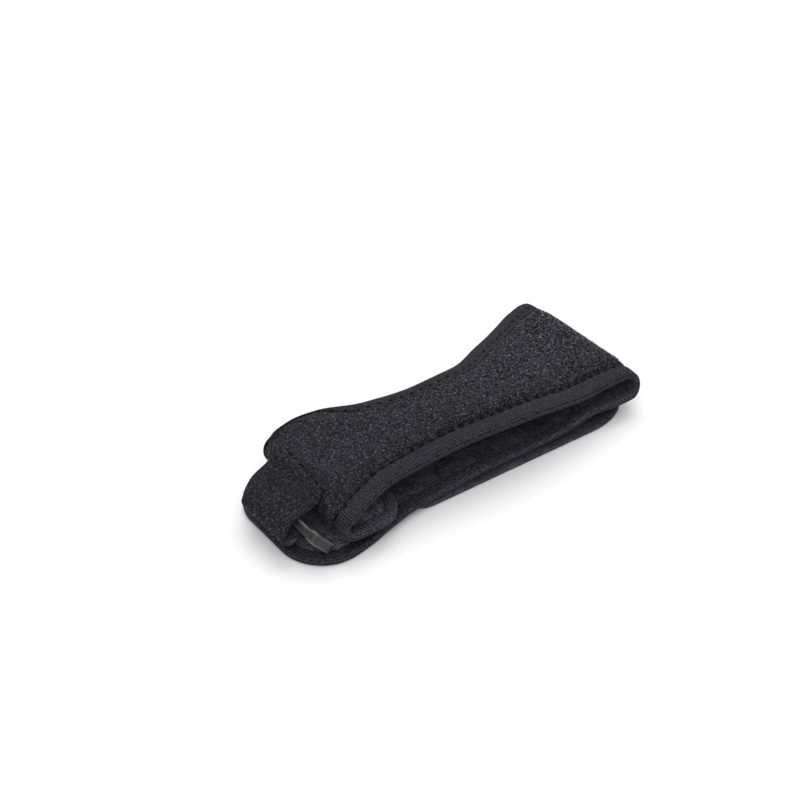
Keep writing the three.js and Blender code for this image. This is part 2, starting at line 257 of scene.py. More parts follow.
# the band: one padded strip from its folded-under end, over the top, round the fold and back to the tongue
# its runs are in mm along the strip, from the hem or, where said, back from the tongue's end
band = {
    "wall": 3.0,
    "edgeWall": 1.2,
    "edgeInset": 1.1,  # the cloth ends this far inside the tape
    "hemCorner": 13.0,
    "tongueCorner": 18.0,
    "hemRoll": {"x": -59.2, "z": 12.5, "radius": 3.8, "twist": -0.7},
    "rightFold": {"x": 81.6, "z": 12.0, "radius": 3.6, "twist": 0.0},
    "puff": 0.45,  # how far the padding stands above the tape
    "puffEnd": (175, 160),  # back from the tongue, where the outer face turns to the table
    "tableRun": (75, 60),  # back from the tongue, where the outer face comes to lie on it
    # how the padding rises, in from the tape's border: start, end, share
    "rises": ((-1.8, -0.6, 0.2), (-0.5, 1.8, 0.45), (0.5, 7.0, 0.35)),
    "farFull": 0.9,  # the pile comes up to the tape's border on the far side
    "napRun": (-0.5, 1.0),
    "napClear": 1.2,  # loose loops keep this far from the tape
    "napAbove": 4.0,
    "tabPatch": {"right": -54, "near": -25, "far": 13},  # no loose loops under the tab
    "seamShadeRuns": (3.5, 14.0),  # painted shade on the pile beside the near seam
    "seamShadeLead": 0.3,
    "seamShadeFar": 0.15,
    "seamShadeHem": 0.4,
    "seamShadeGrowth": (60, 110),
    "paintedFoldHighlight": 0.6,  # and a painted highlight makes it paler over the bend of the fold
    "paintedFoldHighlightShift": 1.5,
    "paintedFoldHighlightRun": 4.5,
    # the pile is darker towards the hem
    "darkerTowardsHem": 0.14,
    "darkerTowardsHemRun": (25, 65),
    "brushedRun": (45, 165),  # the pile stands up more from the hem to the fold
    "paintedFillRun": (48, 36),  # back from the tongue, where painted light makes the lining paler
    # painted light on the lining inside the hem roll
    "rollLight": 0.6,
    "rollLightRun": (30, 50),
    "step": 0.64,  # mesh spacing along the strip
    "columns": 70,  # mesh columns between the two tapes
    "cornerRun": 26,  # cut edge round a corner, for its rows
    "hiddenColumns": (0.0, 1.6, 3.2, 4.6),  # coarse columns under the tape
    "hiddenShare": 0.08,
    "columnGap": 0.7,
    "loopHeight": 0.07,  # how far the loop pile stands up and down
    "knitHeight": 0.14,
    "patternAt": (0, 60),
    "seed": 11,
}
# x, z, far, near, and arch and tilt where not 0
hemRows = [
    (-35, 8.7, 16, -36.4),
    (-46, 8.7, 16, -37.6),
    (-54, 8.7, 17.5, -37.6, 0, -1.6),
]
topRows = [
    (-54, 16.5, 25, -34.2, 0.3, 0),
    (-46, 17.2, 26.2, -31.3, 1.2, 0),
    (-36, 18.5, 24, -29.2, 1.7, 0),
    (-20, 20.4, 15.5, -29, 1.7, 0),
    (0, 21.7, 11.6, -30, 1.7, 0),
    (20, 21.5, 13.4, -30.8, 1.7, 0),
    (42, 19.3, 23, -30.2, 1.8, 0),
    (60, 17.0, 32.3, -28.4, 1.8, 0.5),
    (72, 15.9, 38, -27, 1.6, 1.0),
]
lowRows = [
    (72, 8.3, 38, -30.6, 0.6, 0.2),
    (66, 8.6, 35.2, -30.1, 0.4, 0),
    (61, 8.3, 32.8, -29.5, 0.3, 0),
    (53, 5.9, 28.5, -29, 0.2, 0),
    (44, 4.5, 24, -29, 0.1, 0),
    (28, 4.3, 16.5, -29),
    (8, 4.3, 12.5, -29.2),
    (-14, 4.3, 14, -30.6),
    (-30, 4.2, 18, -31.8),
    (-42, 3.0, 20, -33.8),
    (-52, 1.7, 20, -35.8),
    (-60, 1.5, 20, -37.2),
    (-61, 1.5, 20, -37.3),
    (-70, 1.5, 20, -37.6),
    (-80, 1.5, 20, -37.6),
]
bandRun = makeRun([
    *hemRows,
    *turnRows(band["hemRoll"], 270, 90, (18.5, -37.4, 0, -2.4), (22, -36.6, 0, 0)),
    *topRows,
    *turnRows(band["rightFold"], 90, -90, (40.5, -26.6, 1.2, 1.2), (40.5, -30.4, 0.8, 0.4)),
    *lowRows,
])
bandLength = bandRun["length"]

# the tape: folded over the whole edge of the band and sewn through
tape = {
    "outerReach": 7.6,
    "innerReach": 5.0,
    "turnedReach": 2.2,  # what shows of it where the far edge turns under at the hem
    "turnedRun": (54, 76),
    "edgeRound": 1.3,
    "flatRun": 1.2,  # from its rounded edge to its flat
    "contourPoints": (29, 19),
    "ribPitch": 1.1,
    "ribHeight": 0.05,
    "step": 0.7,
    "stitchPitch": 4.5,
    "stitchNear": 7.25,  # stitch line in from the near edge, outer face
    "stitchFar": 5.6,
    "stitchInner": 4.2,
    "stitchClear": 0.35,  # least room from the stitch line to the tape's border
    "stitchDip": 0.55,
    "dipWidth": 1.05,
    "dipEven": 0.72,  # share of the dip that runs on between stitches
    "scallop": 0.55,
    "scallopRun": 1.0,
    "pucker": 0.25,  # how far each stitch draws the padding in
    # painted shade along the outer stitch line: its width, and its share on the far side
    "grooveWidth": 0.8,
    "grooveShadeFar": 0.2,
    "farEase": 0.5,  # how much less the far stitches are drawn in
    "farRun": 12.0,  # how gradually the near side passes into the far side
    "innerDip": 0.2,
    "innerPucker": 0.15,
    "liningEdge": (0.9, 0.8),  # reach and height of its inside at the fold
    "liningBorder": 0.75,
    "liningGirth": (1, 5, 7, 13),  # round its inside, for the pattern only
    "paleFrom": (-0.3, -1.0),  # heights where its back, paler with painted light, begins
    "paintedLightFadeRun": (75, 45),  # back from the tongue, where the painted light on its back fades
    # share of that painted light taken off towards the tongue
    "paintedLightAmount": 0.75,
}


def smoothStep(low, high, value):
    t = np.clip((value - low) / (high - low), 0, 1)
    return t * t * (3 - 2 * t)


def atLeast(least, share):
    return least + (1 - least) * share


def towardsTongue(s, run):
    # rises from 0 to 1 between two distances back from the tongue's end
    return smoothStep(bandLength - run[0], bandLength - run[1], s)


def edgeAt(s, side, inset):
    # edge of the band at a station, moved in from the cut edge, with both ends rounded
    name = "far" if side > 0 else "near"
    slant = edgeOf(bandRun, name, s + 0.5) - edgeOf(bandRun, name, s - 0.5)
    back = inset * np.hypot(1, slant)
    for room, corner in ((s, band["hemCorner"]), (bandLength - s, band["tongueCorner"])):
        radius = corner - inset
        reach = np.clip(radius - (room - inset), 0, radius)
        back = back + radius - np.sqrt(radius ** 2 - reach ** 2)
    return edgeOf(bandRun, name, s) - side * back


def runStations(inset, step):
    # stations along the band, close together round its end corners
    opening = 1 - np.cos(np.linspace(0, math.pi / 2, round(band["cornerRun"] / step)))
    start = inset + (band["hemCorner"] - inset) * opening
    end = bandLength - inset - (band["tongueCorner"] - inset) * opening
    between = np.arange(band["hemCorner"] + step, bandLength - band["tongueCorner"] - step / 2, step)
    return np.concatenate([start, between, end[::-1]])


def bandOutline(step):
    # the band's cut edge in the flat pattern, run round once from the hem along the near side
    s = runStations(0.0, step)
    near = np.stack([s, edgeAt(s, -1, 0.0)], -1)
    far = np.stack([s, edgeAt(s, 1, 0.0)], -1)[::-1]

    def across(a, b):
        count = max(3, round(np.linalg.norm(b - a) / step))
        return a + (b - a) * np.linspace(0, 1, count + 1)[1:-1, None]

    line = np.vstack([near, across(near[-1], far[0]), far, across(far[-1], near[0])])
    keep = np.linalg.norm(line - np.roll(line, 1, axis=0), axis=1) > 1e-4
    return line[keep]


outline = bandOutline(tape["step"])
outlineStep = np.linalg.norm(np.roll(outline, -1, axis=0) - outline, axis=1)
outlineAlong = np.concatenate([[0], np.cumsum(outlineStep)[:-1]])
perimeter = outlineStep.sum()
stitchCount = round(perimeter / tape["stitchPitch"])


def edgeFrame():
    # the inward direction at each point of the outline
    ahead = unit(np.roll(outline, -1, axis=0) - np.roll(outline, 1, axis=0))
    inward = np.stack([-ahead[:, 1], ahead[:, 0]], -1)
    longEdge = (outline[:, 0] > band["hemCorner"]) & (outline[:, 0] < bandLength - band["tongueCorner"])
    inward[longEdge] = np.stack([0 * ahead[longEdge, 0], 1 / ahead[longEdge, 0]], -1)
    return inward


def nearestOn(line, s, y):
    # how far each point of a grid is from a dense flat line, and from which of its points
    tree = KDTree(len(line))
    for number, point in enumerate(line):
        tree.insert((*point, 0), number)
    tree.balance()
    found = [tree.find((a, b, 0)) for a, b in zip(s.ravel(), y.ravel())]
    return tuple(np.array([hit[k] for hit in found]).reshape(y.shape) for k in (2, 1))


# slow unevenness of soft cloth, which fades out where the band lies on the table
soft = {"broad": 0.2, "broadRun": (11, 12), "fine": 0.14, "fineRun": (6.1, 9), "fadeEnd": 75, "fade": 40}


def sway(s, y):
    free = np.clip((bandLength - soft["fadeEnd"] - s) / soft["fade"], 0, 1)
    broad = np.sin(s / soft["broadRun"][0] + 0.6) * np.sin(y / soft["broadRun"][1] + 1.1)
    fine = np.sin(s / soft["fineRun"][0] + 2 + y / soft["fineRun"][1])
    return free * (soft["broad"] * broad + soft["fine"] * fine)


def farShare(s, y):
    # 0 on the near side of the band, 1 on the far side
    middle = (edgeOf(bandRun, "near", s) + edgeOf(bandRun, "far", s)) / 2
    return smoothStep(-tape["farRun"], tape["farRun"], y - middle)


def outerReachAt(place):
    turned = farShare(*place.T) * (1 - smoothStep(*tape["turnedRun"], place[:, 0]))
    return tape["outerReach"] + (tape["turnedReach"] - tape["outerReach"]) * turned


def stitchReach(place):
    # outer stitch line, closer to the edge on the far side, run over gradually round the ends
    line = tape["stitchNear"] + (tape["stitchFar"] - tape["stitchNear"]) * farShare(*place.T)
    return np.minimum(line, outerReachAt(place) - tape["stitchClear"])


def stitchPhase(along):
    # 1 at the middle of each stitch, -1 between stitches
    return np.cos(2 * math.pi * along * stitchCount / perimeter)


def makePiece(name, points, faces, flat, materials, faceMaterial=0):
    # points in mm to a smooth-shaded mesh with the flat pattern as its UV map, in metres
    mesh = bpy.data.meshes.new(name)
    mesh.from_pydata((points * mm).tolist(), [], faces.tolist())
    mesh.polygons.foreach_set("use_smooth", np.ones(len(faces), bool))
    for material in materials:
        mesh.materials.append(material)
    mesh.polygons.foreach_set("material_index", np.full(len(faces), faceMaterial, np.int32))
    corners = np.zeros(len(mesh.loops), np.int32)
    mesh.loops.foreach_get("vertex_index", corners)
    layer = mesh.uv_layers.new(name="flatPattern")
    layer.data.foreach_set("uv", (flat[corners] * mm).astype(np.float32).ravel())
    print(f"{name}: {len(faces)} faces")
    return addObject(name, mesh)


def makeSheet(name, upper, lower, station, y, patternAt, materials):
    # cloth with two faces over one grid, closed round its border
    top = np.arange(y.size).reshape(y.shape)

    def quads(a):
        return np.stack([a[:-1, :-1], a[1:, :-1], a[1:, 1:], a[:-1, 1:]], -1).reshape(-1, 4)

    border = np.concatenate([top[0, :-1], top[:-1, -1], top[-1, :0:-1], top[:0:-1, 0]])
    below = border + y.size
    rim = np.stack([border, np.roll(border, -1), np.roll(below, -1), below], -1)
    faces = np.vstack([quads(top), quads(top + y.size)[:, ::-1], rim])
    kinds = (np.arange(len(faces)) >= len(quads(top))) * (len(materials) - 1)
    flat = np.tile(np.stack([station, y], -1).reshape(-1, 2) + patternAt, (2, 1))
    points = np.vstack([upper.reshape(-1, 3), lower.reshape(-1, 3)])
    return makePiece(name, points, faces, flat, materials, kinds)


def hoopFaces(hoops, count):
    # quads of a closed tube made of hoops
    index = np.arange(hoops * count).reshape(hoops, count)
    ahead, beside = np.roll(index, -1, axis=0), np.roll(index, -1, axis=1)
    return np.stack([index, beside, np.roll(ahead, -1, axis=1), ahead], -1).reshape(-1, 4)


def markPoints(piece, marks):
    # named values on the points, read by the node trees and the materials
    for label, values in marks.items():
        mark = piece.data.attributes.new(label, "FLOAT", "POINT")
        mark.data.foreach_set("value", values.astype(np.float32).ravel())


def grain(rng, rows, columns, passes):
    # random lumps a few mesh cells wide, about -1 to 1
    values = rng.standard_normal((rows, columns))
    for _ in range(passes):
        padded = np.pad(values, 1, mode="edge")
        beside = padded[:-2, 1:-1] + padded[2:, 1:-1] + padded[1:-1, :-2] + padded[1:-1, 2:]
        values = (beside + 2 * values) / 6
    return values / (2 * values.std())


def roundedEdge(distance, radius, least):
    return np.sqrt(np.clip(1 - (1 - np.clip(distance / radius, 0, 1)) ** 2, least, 1))


def makeBand(outerCloth, innerCloth):
    inset = band["edgeInset"]
    s = runStations(inset, band["step"])
    near, far = edgeAt(s, -1, inset)[:, None], edgeAt(s, 1, inset)[:, None]
    width = far - near
    hidden = np.array(band["hiddenColumns"])
    edgeShare = np.minimum(hidden, width * band["hiddenShare"] * np.arange(len(hidden)))
    lead = edgeShare[:, -1:] + band["columnGap"]
    middle = lead + (width - 2 * lead) * np.linspace(0, 1, band["columns"])
    y = near + np.hstack([edgeShare, middle, width - edgeShare[:, ::-1]])
    station = np.repeat(s[:, None], y.shape[1], axis=1)
    distance, nearest = nearestOn(outline, station, y)
    drawn = stitchPhase(outlineAlong[nearest])
    outerReach = outerReachAt(outline)[nearest]
    nearSide = 1 - farShare(station, y)
    raised = 1 - towardsTongue(station, band["puffEnd"])
    onTable = towardsTongue(station, band["tableRun"])
    sooner = band["farFull"] * (1 - nearSide) * raised
    thin, half = band["edgeWall"] / 2, band["wall"] / 2
    napStart, napEnd = band["napRun"]
    padded = half + band["puff"] * raised
    rng = np.random.default_rng(band["seed"])
    faces = []
    for side, reach, relief, passes, pucker, full, early in (
        (1, outerReach, band["loopHeight"], 1, tape["pucker"] * nearSide, padded, sooner),
        (-1, tape["innerReach"], band["knitHeight"], 2, tape["innerPucker"], half, 0.0),
    ):
        # thin under the tape, drawn down at the stitches, full from a few mm further in
        inside = distance - pucker * drawn + early
        rise = sum(share * smoothStep(reach + a, reach + b, inside) for a, b, share in band["rises"])
        lumps = relief * grain(rng, *y.shape, passes) * smoothStep(reach + napStart, reach + napEnd, distance)
        floorGuard = np.minimum(lumps, 0.0) if side > 0 else lumps
        height = thin + (full - thin) * rise + lumps * (1 - onTable) + floorGuard * onTable
        faces.append(placeOn(bandRun, station, y, side * height + sway(station, y)))
    piece = makeSheet("bandCloth", *faces, station, y, band["patternAt"], [outerCloth, innerCloth])

    # where loose loops may stand: outer face, clear of the tape, the tab and the table
    x, across, z = np.moveaxis(faces[0], -1, 0)
    patch = band["tabPatch"]
    underTab = (x < drawingZero[0] + patch["right"]) & (across < patch["far"]) & (across > patch["near"])
    loops = (distance > outerReach + band["napClear"]) & ~underTab & (z > band["napAbove"])
    # painted shade beside the near seam, weaker on the far side and towards the hem
    pressed = sum(
        (1 - smoothStep(outerReach - band["seamShadeLead"], outerReach + run, distance)) / 2
        for run in band["seamShadeRuns"]
    )
    pressed *= atLeast(band["seamShadeHem"], smoothStep(*band["seamShadeGrowth"], station))
    pressed *= atLeast(band["seamShadeFar"], nearSide)
    # a painted highlight over the bend of the fold
    bend = bandRun["stations"][len(hemRows) + turnSteps + len(topRows)] + band["paintedFoldHighlightShift"]
    paintedFoldHighlight = band["paintedFoldHighlight"] * np.exp(-((station - bend) / band["paintedFoldHighlightRun"]) ** 2)
    darkerTowardsHem = band["darkerTowardsHem"] * (1 - smoothStep(*band["darkerTowardsHemRun"], station))
    # painted light on the lining at the tongue and inside the hem roll
    inRoll = band["rollLight"] * (1 - smoothStep(*band["rollLightRun"], station))
    markPoints(piece, {
        "loopFace": np.stack([loops, np.zeros(y.shape)]),
        "pressed": np.stack([pressed + darkerTowardsHem - paintedFoldHighlight] * 2),
        "handled": np.stack([towardsTongue(station, band["paintedFillRun"]) + inRoll] * 2),
        "brushed": np.stack([smoothStep(*band["brushedRun"], station)] * 2),
    })
    return piece, (width.max(), bandLength), np.trapz(width[:, 0], s)


def tapeContour():
    # outside of the folded tape from its outer border round the edge to its inner border: reach, height
    half, edgeRound = band["wall"] / 2, tape["edgeRound"]
    longCount, shortCount = tape["contourPoints"]
    angle = np.linspace(0, math.pi, shortCount)[1:-1]
    edge = np.stack([edgeRound * (1 - np.sin(angle)), half * np.cos(angle)], -1)
    top = np.stack([np.linspace(tape["outerReach"], edgeRound, longCount), np.full(longCount, half)], -1)
    low = np.stack([np.linspace(edgeRound, tape["innerReach"], shortCount), np.full(shortCount, -half)], -1)
    line = np.vstack([top, edge, low])
    along = lengthAlong(line)
    at = np.arange(0, along[-1], tape["ribPitch"] / 4)
    return pointsAt(at, along, line), at


def makeTape(cloth):
    edgeRound = tape["edgeRound"]
    contour, ribAlong = tapeContour()
    phase = stitchPhase(outlineAlong)[:, None]
    reach, height = (np.tile(contour[:, k], (len(outline), 1)) for k in (0, 1))
    outer = height > 0
    outerReach = outerReachAt(outline)[:, None]
    shown = edgeRound + (reach - edgeRound) * ((outerReach - edgeRound) / (tape["outerReach"] - edgeRound))
    reach = np.where(outer & (reach > edgeRound), shown, reach)
    # borders scallop where the thread draws them in, faces dip along the stitches
    border = np.where(outer, outerReach, tape["innerReach"])
    line = np.where(outer, stitchReach(outline)[:, None], tape["stitchInner"])
    flatPart = smoothStep(edgeRound, edgeRound + tape["flatRun"], reach)
    nearSide = (1 - farShare(*outline.T))[:, None]
    scallop = np.where(outer, tape["scallop"] * nearSide, tape["innerPucker"])
    reach = reach - scallop * phase * smoothStep(line - tape["scallopRun"], border, reach) * flatPart
    ribs = tape["ribHeight"] * np.cos(2 * math.pi * ribAlong / tape["ribPitch"])
    size = np.abs(height) / (band["wall"] / 2)
    depth = np.where(outer, tape["stitchDip"] * (1 - tape["farEase"] * (1 - nearSide)), tape["innerDip"])
    pull = depth * atLeast(tape["dipEven"], phase)
    dip = pull * np.exp(-((reach - line) / tape["dipWidth"]) ** 2) * flatPart
    # painted shade along the stitch line, weaker on the far side
    groove = outer * np.exp(-((reach - line) / tape["grooveWidth"]) ** 2)
    groove = groove * atLeast(tape["grooveShadeFar"], nearSide)
    height = np.sign(height) * (np.abs(height) - dip + ribs * size)
    reach = reach - ribs * (1 - size)
    # and back along the inside, from the inner border round the fold to the outer one
    foldReach, foldHeight = tape["liningEdge"]
    fold = np.full((len(outline), 2), foldReach)
    back = np.array([-tape["liningBorder"], -foldHeight, foldHeight, tape["liningBorder"]])
    reach = np.hstack([reach, reach[:, -1:], fold, reach[:, :1]])
    height = np.hstack([height, np.tile(back, (len(outline), 1))])
    place = outline[:, None, :] + edgeFrame()[:, None, :] * reach[..., None]
    s, y = place[..., 0], place[..., 1]
    points = placeOn(bandRun, s, y, height + sway(s, y)).reshape(-1, 3)
    girth = np.concatenate([ribAlong, ribAlong[-1] + np.array(tape["liningGirth"])])
    flat = np.stack(np.meshgrid(outlineAlong, girth, indexing="ij"), -1).reshape(-1, 2)
    piece = makePiece("edgeTape", points, hoopFaces(*reach.shape), flat, [cloth])
    # painted light on the tape's back, less of it towards the tongue
    pale = 1 - tape["paintedLightAmount"] * towardsTongue(s, tape["paintedLightFadeRun"])
    markPoints(piece, {
        "innerHalf": pale * smoothStep(*tape["paleFrom"], height),
        "groove": np.hstack([groove, np.zeros((len(outline), len(back)))]),
    })
    return piece, (ribAlong[-1], perimeter)


def runTree(name, source, tree, values):
    # evaluates a node tree on a mesh and keeps the result as a plain mesh
    modifier = source.modifiers.new(tree.name, "NODES")
    modifier.node_group = tree
    sockets = {item.name: item.identifier for item in tree.interface.items_tree if item.in_out == "INPUT"}
    for label, value in values.items():
        modifier[sockets[label]] = value
    graph = bpy.context.evaluated_depsgraph_get()
    mesh = bpy.data.meshes.new_from_object(source.evaluated_get(graph), depsgraph=graph)
    source.modifiers.remove(modifier)
    mesh.name = name
    print(f"{name}: {len(mesh.polygons)} faces")
    return addObject(name, mesh)


def newTree(name, inputs):
    tree = bpy.data.node_groups.new(name, "GeometryNodeTree")
    tree.interface.new_socket("Geometry", in_out="INPUT", socket_type="NodeSocketGeometry")
    for label, kind in inputs.items():
        tree.interface.new_socket(label, in_out="INPUT", socket_type="NodeSocket" + kind)
    tree.interface.new_socket("Geometry", in_out="OUTPUT", socket_type="NodeSocketGeometry")
    return tree, partial(addNode, tree), addNode(tree, "NodeGroupInput").outputs


def closeTree(add, points, instance, rotation, swing, scale, material):
    # an instance on each point, swung from its rotation, made real and given its material
    turned = add("FunctionNodeRotateRotation", {
        "rotation_space": "LOCAL", "Rotation": rotation,
        "Rotate By": add("FunctionNodeEulerToRotation", {"Euler": swing}),
    })
    placed = add("GeometryNodeInstanceOnPoints", {
        "Points": points, "Instance": instance, "Rotation": turned, "Scale": scale,
    })
    real = add("GeometryNodeRealizeInstances", {"Geometry": placed})
    smooth = add("GeometryNodeSetShadeSmooth", {"Geometry": real})
    dressed = add("GeometryNodeSetMaterial", {"Geometry": smooth, "Material": material})
    add("NodeGroupOutput", {"Geometry": dressed})


# stitches: short bars of thread pulled into the cloth
stitch = {
    "length": 3.0,
    "farShort": 0.4,  # far stitches are pulled in, so less of each shows
    "width": 0.8,
    "height": 0.5,
    "sink": 0.1,
    "unevenness": 0.32,
    "leastReach": 4.1,  # none where less of the tape shows than this
    "segments": 8,
    "rings": 6,
    "seed": 5,
}


def stitchTree():
    # one thread bar on each point, laid along the seam
    tree, add, given = newTree("stitches along a seam", {
        "Stitch Length": "Float", "Thread Width": "Float", "Thread Height": "Float", "Unevenness": "Float",
        "Seed": "Int", "Thread": "Material",
    })
    along = add("GeometryNodeInputNamedAttribute", {"data_type": "FLOAT_VECTOR", "Name": "along"})
    up = add("GeometryNodeInputNamedAttribute", {"data_type": "FLOAT_VECTOR", "Name": "up"})
    lie = add("FunctionNodeAlignRotationToVector", {"axis": "X", "Vector": along})
    stand = add("FunctionNodeAlignRotationToVector", {
        "axis": "Z", "pivot_axis": "X", "Rotation": lie, "Vector": up,
    })
    share = add("VectorMath", {"operation": "LENGTH", 0: along})
    drawn = add("Math", {"operation": "MULTIPLY", 0: given["Stitch Length"], 1: share})
    size = add("CombineXYZ", {"X": drawn, "Y": given["Thread Width"], "Z": given["Thread Height"]})
    chance = add("FunctionNodeRandomValue", {
        "data_type": "FLOAT_VECTOR", 0: (-1, -1, -1), "Seed": given["Seed"],
    })
    shift = add("VectorMath", {"operation": "SCALE", 0: chance, "Scale": given["Unevenness"]})
    growth = add("VectorMath", {"operation": "ADD", 0: shift, 1: (1, 1, 1)})
    uneven = add("VectorMath", {"operation": "MULTIPLY", 0: size, 1: growth})
    onlySpin = add("VectorMath", {"operation": "MULTIPLY", 0: shift, 1: (0, 0, 1)})
    bar = add("GeometryNodeMeshUVSphere", {
        "Segments": stitch["segments"], "Rings": stitch["rings"], "Radius": 0.5,
    })
    dots = add("GeometryNodeMeshToPoints", {"Mesh": given["Geometry"]})
    closeTree(add, dots, bar, stand, onlySpin, uneven, given["Thread"])
    return tree


def sewStitches(name, points, along, up, tree, thread, share=1.0):
    # the length of each direction is the share of a full stitch
    along = unit(along) * share
    mesh = bpy.data.meshes.new(name + "Line")
    mesh.from_pydata((points * mm).tolist(), [], [])
    for label, values in (("along", along), ("up", up)):
        mark = mesh.attributes.new(label, "FLOAT_VECTOR", "POINT")
        mark.data.foreach_set("vector", values.astype(np.float32).ravel())
    seam = addObject(name + "Line", mesh)
    piece = runTree(name, seam, tree, {
        "Stitch Length": stitch["length"] * mm,
        "Thread Width": stitch["width"] * mm,
        "Thread Height": stitch["height"] * mm,
        "Unevenness": stitch["unevenness"],
        "Seed": stitch["seed"],
        "Thread": thread,
    })
    bpy.data.objects.remove(seam)
    return piece


def aroundOutline(values, at):
    # what is given at each point of the outline, read at distances round it
    return pointsAt(at, np.append(outlineAlong, perimeter), np.vstack([values, values[:1]]))


def makeEdgeStitches(tree, thread, bobbin):
    # both faces of the tape, one stitch to each dip, the inner row in a greyer thread
    at = np.arange(stitchCount) * perimeter / stitchCount
    edge, turn = aroundOutline(outline, at), aroundOutline(edgeFrame(), at)
    farSide = farShare(*edge.T)
    shows = outerReachAt(edge) > stitch["leastReach"]
    share = (1 - stitch["farShort"] * farSide)[shows, None]
    outerDip = tape["stitchDip"] * (1 - tape["farEase"] * farSide)
    step = 0.8
    pieces = []
    for name, side, reach, dip, spool in (
        ("edgeStitches", 1, stitchReach(edge)[:, None], outerDip, thread),
        ("innerStitches", -1, tape["stitchInner"], tape["innerDip"], bobbin),
    ):
        place = edge + turn * reach
        tangent = np.roll(place, -1, axis=0) - np.roll(place, 1, axis=0)
        tangent *= step / np.linalg.norm(tangent, axis=1, keepdims=True)
        raised = 1 - towardsTongue(place[:, 0], band["puffEnd"])
        height = side * (band["wall"] / 2 - dip - stitch["sink"]) + (side > 0) * raised * stitch["height"] / 2
        lift = height + sway(*place.T)
        here = placeOn(bandRun, *place.T, lift)
        run = placeOn(bandRun, *(place + tangent).T, lift) - placeOn(bandRun, *(place - tangent).T, lift)
        up = side * (placeOn(bandRun, *place.T, lift + 0.5) - here)
        pieces.append(sewStitches(name, here[shows], run[shows], up[shows], tree, spool, share))
    return pieces


# curled loops standing out of the cloth, drawn stouter than the real fibre, so that they show
nap = {
    "density": 0.85,
    "loopRadius": 0.34,
    "fibreRadius": 0.06,
    "startAngle": -0.4,
    "sweep": 3.9,
    "tip": 0.9,
    "arcPoints": 5,
    "sides": 3,
    "smallest": 0.55,
    "largest": 1.25,
    "seed": 3,
}


def napTree():
    # an upright arc of fibre on each point, turned and tipped at random
    tree, add, given = newTree("curled loops on cloth", {
        "Loops Per Area": "Float", "Loop Radius": "Float", "Fibre Radius": "Float", "Seed": "Int",
        "Fibre": "Material",
    })
    marked = add("GeometryNodeInputNamedAttribute", {"data_type": "FLOAT", "Name": "loopFace"})
    density = add("Math", {"operation": "MULTIPLY", 0: marked, 1: given["Loops Per Area"]})
    scattered = add("GeometryNodeDistributePointsOnFaces", {
        "Mesh": given["Geometry"], "Density": density, "Seed": given["Seed"],
    })
    arc = add("GeometryNodeCurveArc", {
        "Resolution": nap["arcPoints"], "Start Angle": nap["startAngle"], "Sweep Angle": nap["sweep"],
        "Radius": given["Loop Radius"],
    })
    upright = add("GeometryNodeTransform", {"Rotation": (math.pi / 2, 0, 0), "Geometry": arc})
    section = add("GeometryNodeCurvePrimitiveCircle", {
        "Resolution": nap["sides"], "Radius": given["Fibre Radius"],
    })
    fibre = add("GeometryNodeCurveToMesh", {"Fill Caps": True, "Curve": upright, "Profile Curve": section})
    least, most = ((sign * nap["tip"], sign * nap["tip"], sign * math.pi) for sign in (-1, 1))
    tip = add("FunctionNodeRandomValue", {
        "data_type": "FLOAT_VECTOR", 0: least, 1: most, "Seed": given["Seed"],
    })
    growth = add("FunctionNodeRandomValue", {
        "data_type": "FLOAT", 2: nap["smallest"], 3: nap["largest"], "Seed": given["Seed"],
    })
    closeTree(add, scattered, fibre, scattered.outputs["Rotation"], tip, growth, given["Fibre"])
    return tree


def makeNap(name, cloth, tree, fibre):
    return runTree(name, cloth, tree, {
        "Loops Per Area": nap["density"] / (mm * mm),
        "Loop Radius": nap["loopRadius"] * mm,
        "Fibre Radius": nap["fibreRadius"] * mm,
        "Seed": nap["seed"],
        "Fibre": fibre,
    })


# the tab: doubled cloth sewn on the hem, carried round the ring and back
tab = {
    "wall": 1.6,
    "edgeLeast": 0.03,  # blunts the very edge
    "seamShare": 0.55,  # wall at the seam, of the full wall
    "seamRun": 6.0,
    "seamSink": 0.3,
    "seamSlant": 2.6,
    "seamInset": 1.6,
    "seamDip": 0.3,
    "seamWidth": 0.6,
    "laidRun": (5.0, 9.0),  # from the seam to where it lifts off the hem
    "stitchPitch": 4.2,
    "stitchSpan": (0.05, 0.95),
    "step": 0.4,
    "columns": 60,
    "loopHeight": 0.1,
    "loopMost": 0.12,
    "loopRun": (0.3, 1.2),
    "napClear": 0.8,
    "patternAt": (10, 60),
    "seed": 23,
}
# x, z, far, near
tabRows = [
    (-56.8, 18.85, 7, -18.6),
    (-59.4, 18.75, 8.6, -19.3),
    (-62.4, 18.0, 10.6, -20.2),
    (-64.7, 16.5, 11.3, -20.9),
    (-68, 15.6, 10.5, -21.6),
    (-75, 15.2, 7.5, -23.1),
    (-79.5, 13.8, 4.6, -24.8),
    (-82.2, 11.0, 2.6, -26.2),
    (-80.5, 8.7, 2.6, -26),
    (-76.5, 8.4, 3, -24.8),
    (-72, 9.2, 4, -20.5),
    (-68.5, 10.9, 4.6, -16.5),
    (-65.4, 12.4, 5, -14),
]
tabRun = makeRun(tabRows)
tabLength = tabRun["length"]


def tabHalf(s):
    return tab["wall"] / 2 * atLeast(tab["seamShare"], np.minimum(1, s / tab["seamRun"]))


def slanted(s, share):
    # the seam runs aslant, which fades out along the tab
    return s + tab["seamSlant"] * (1 - share) * (1 - s / tabLength)


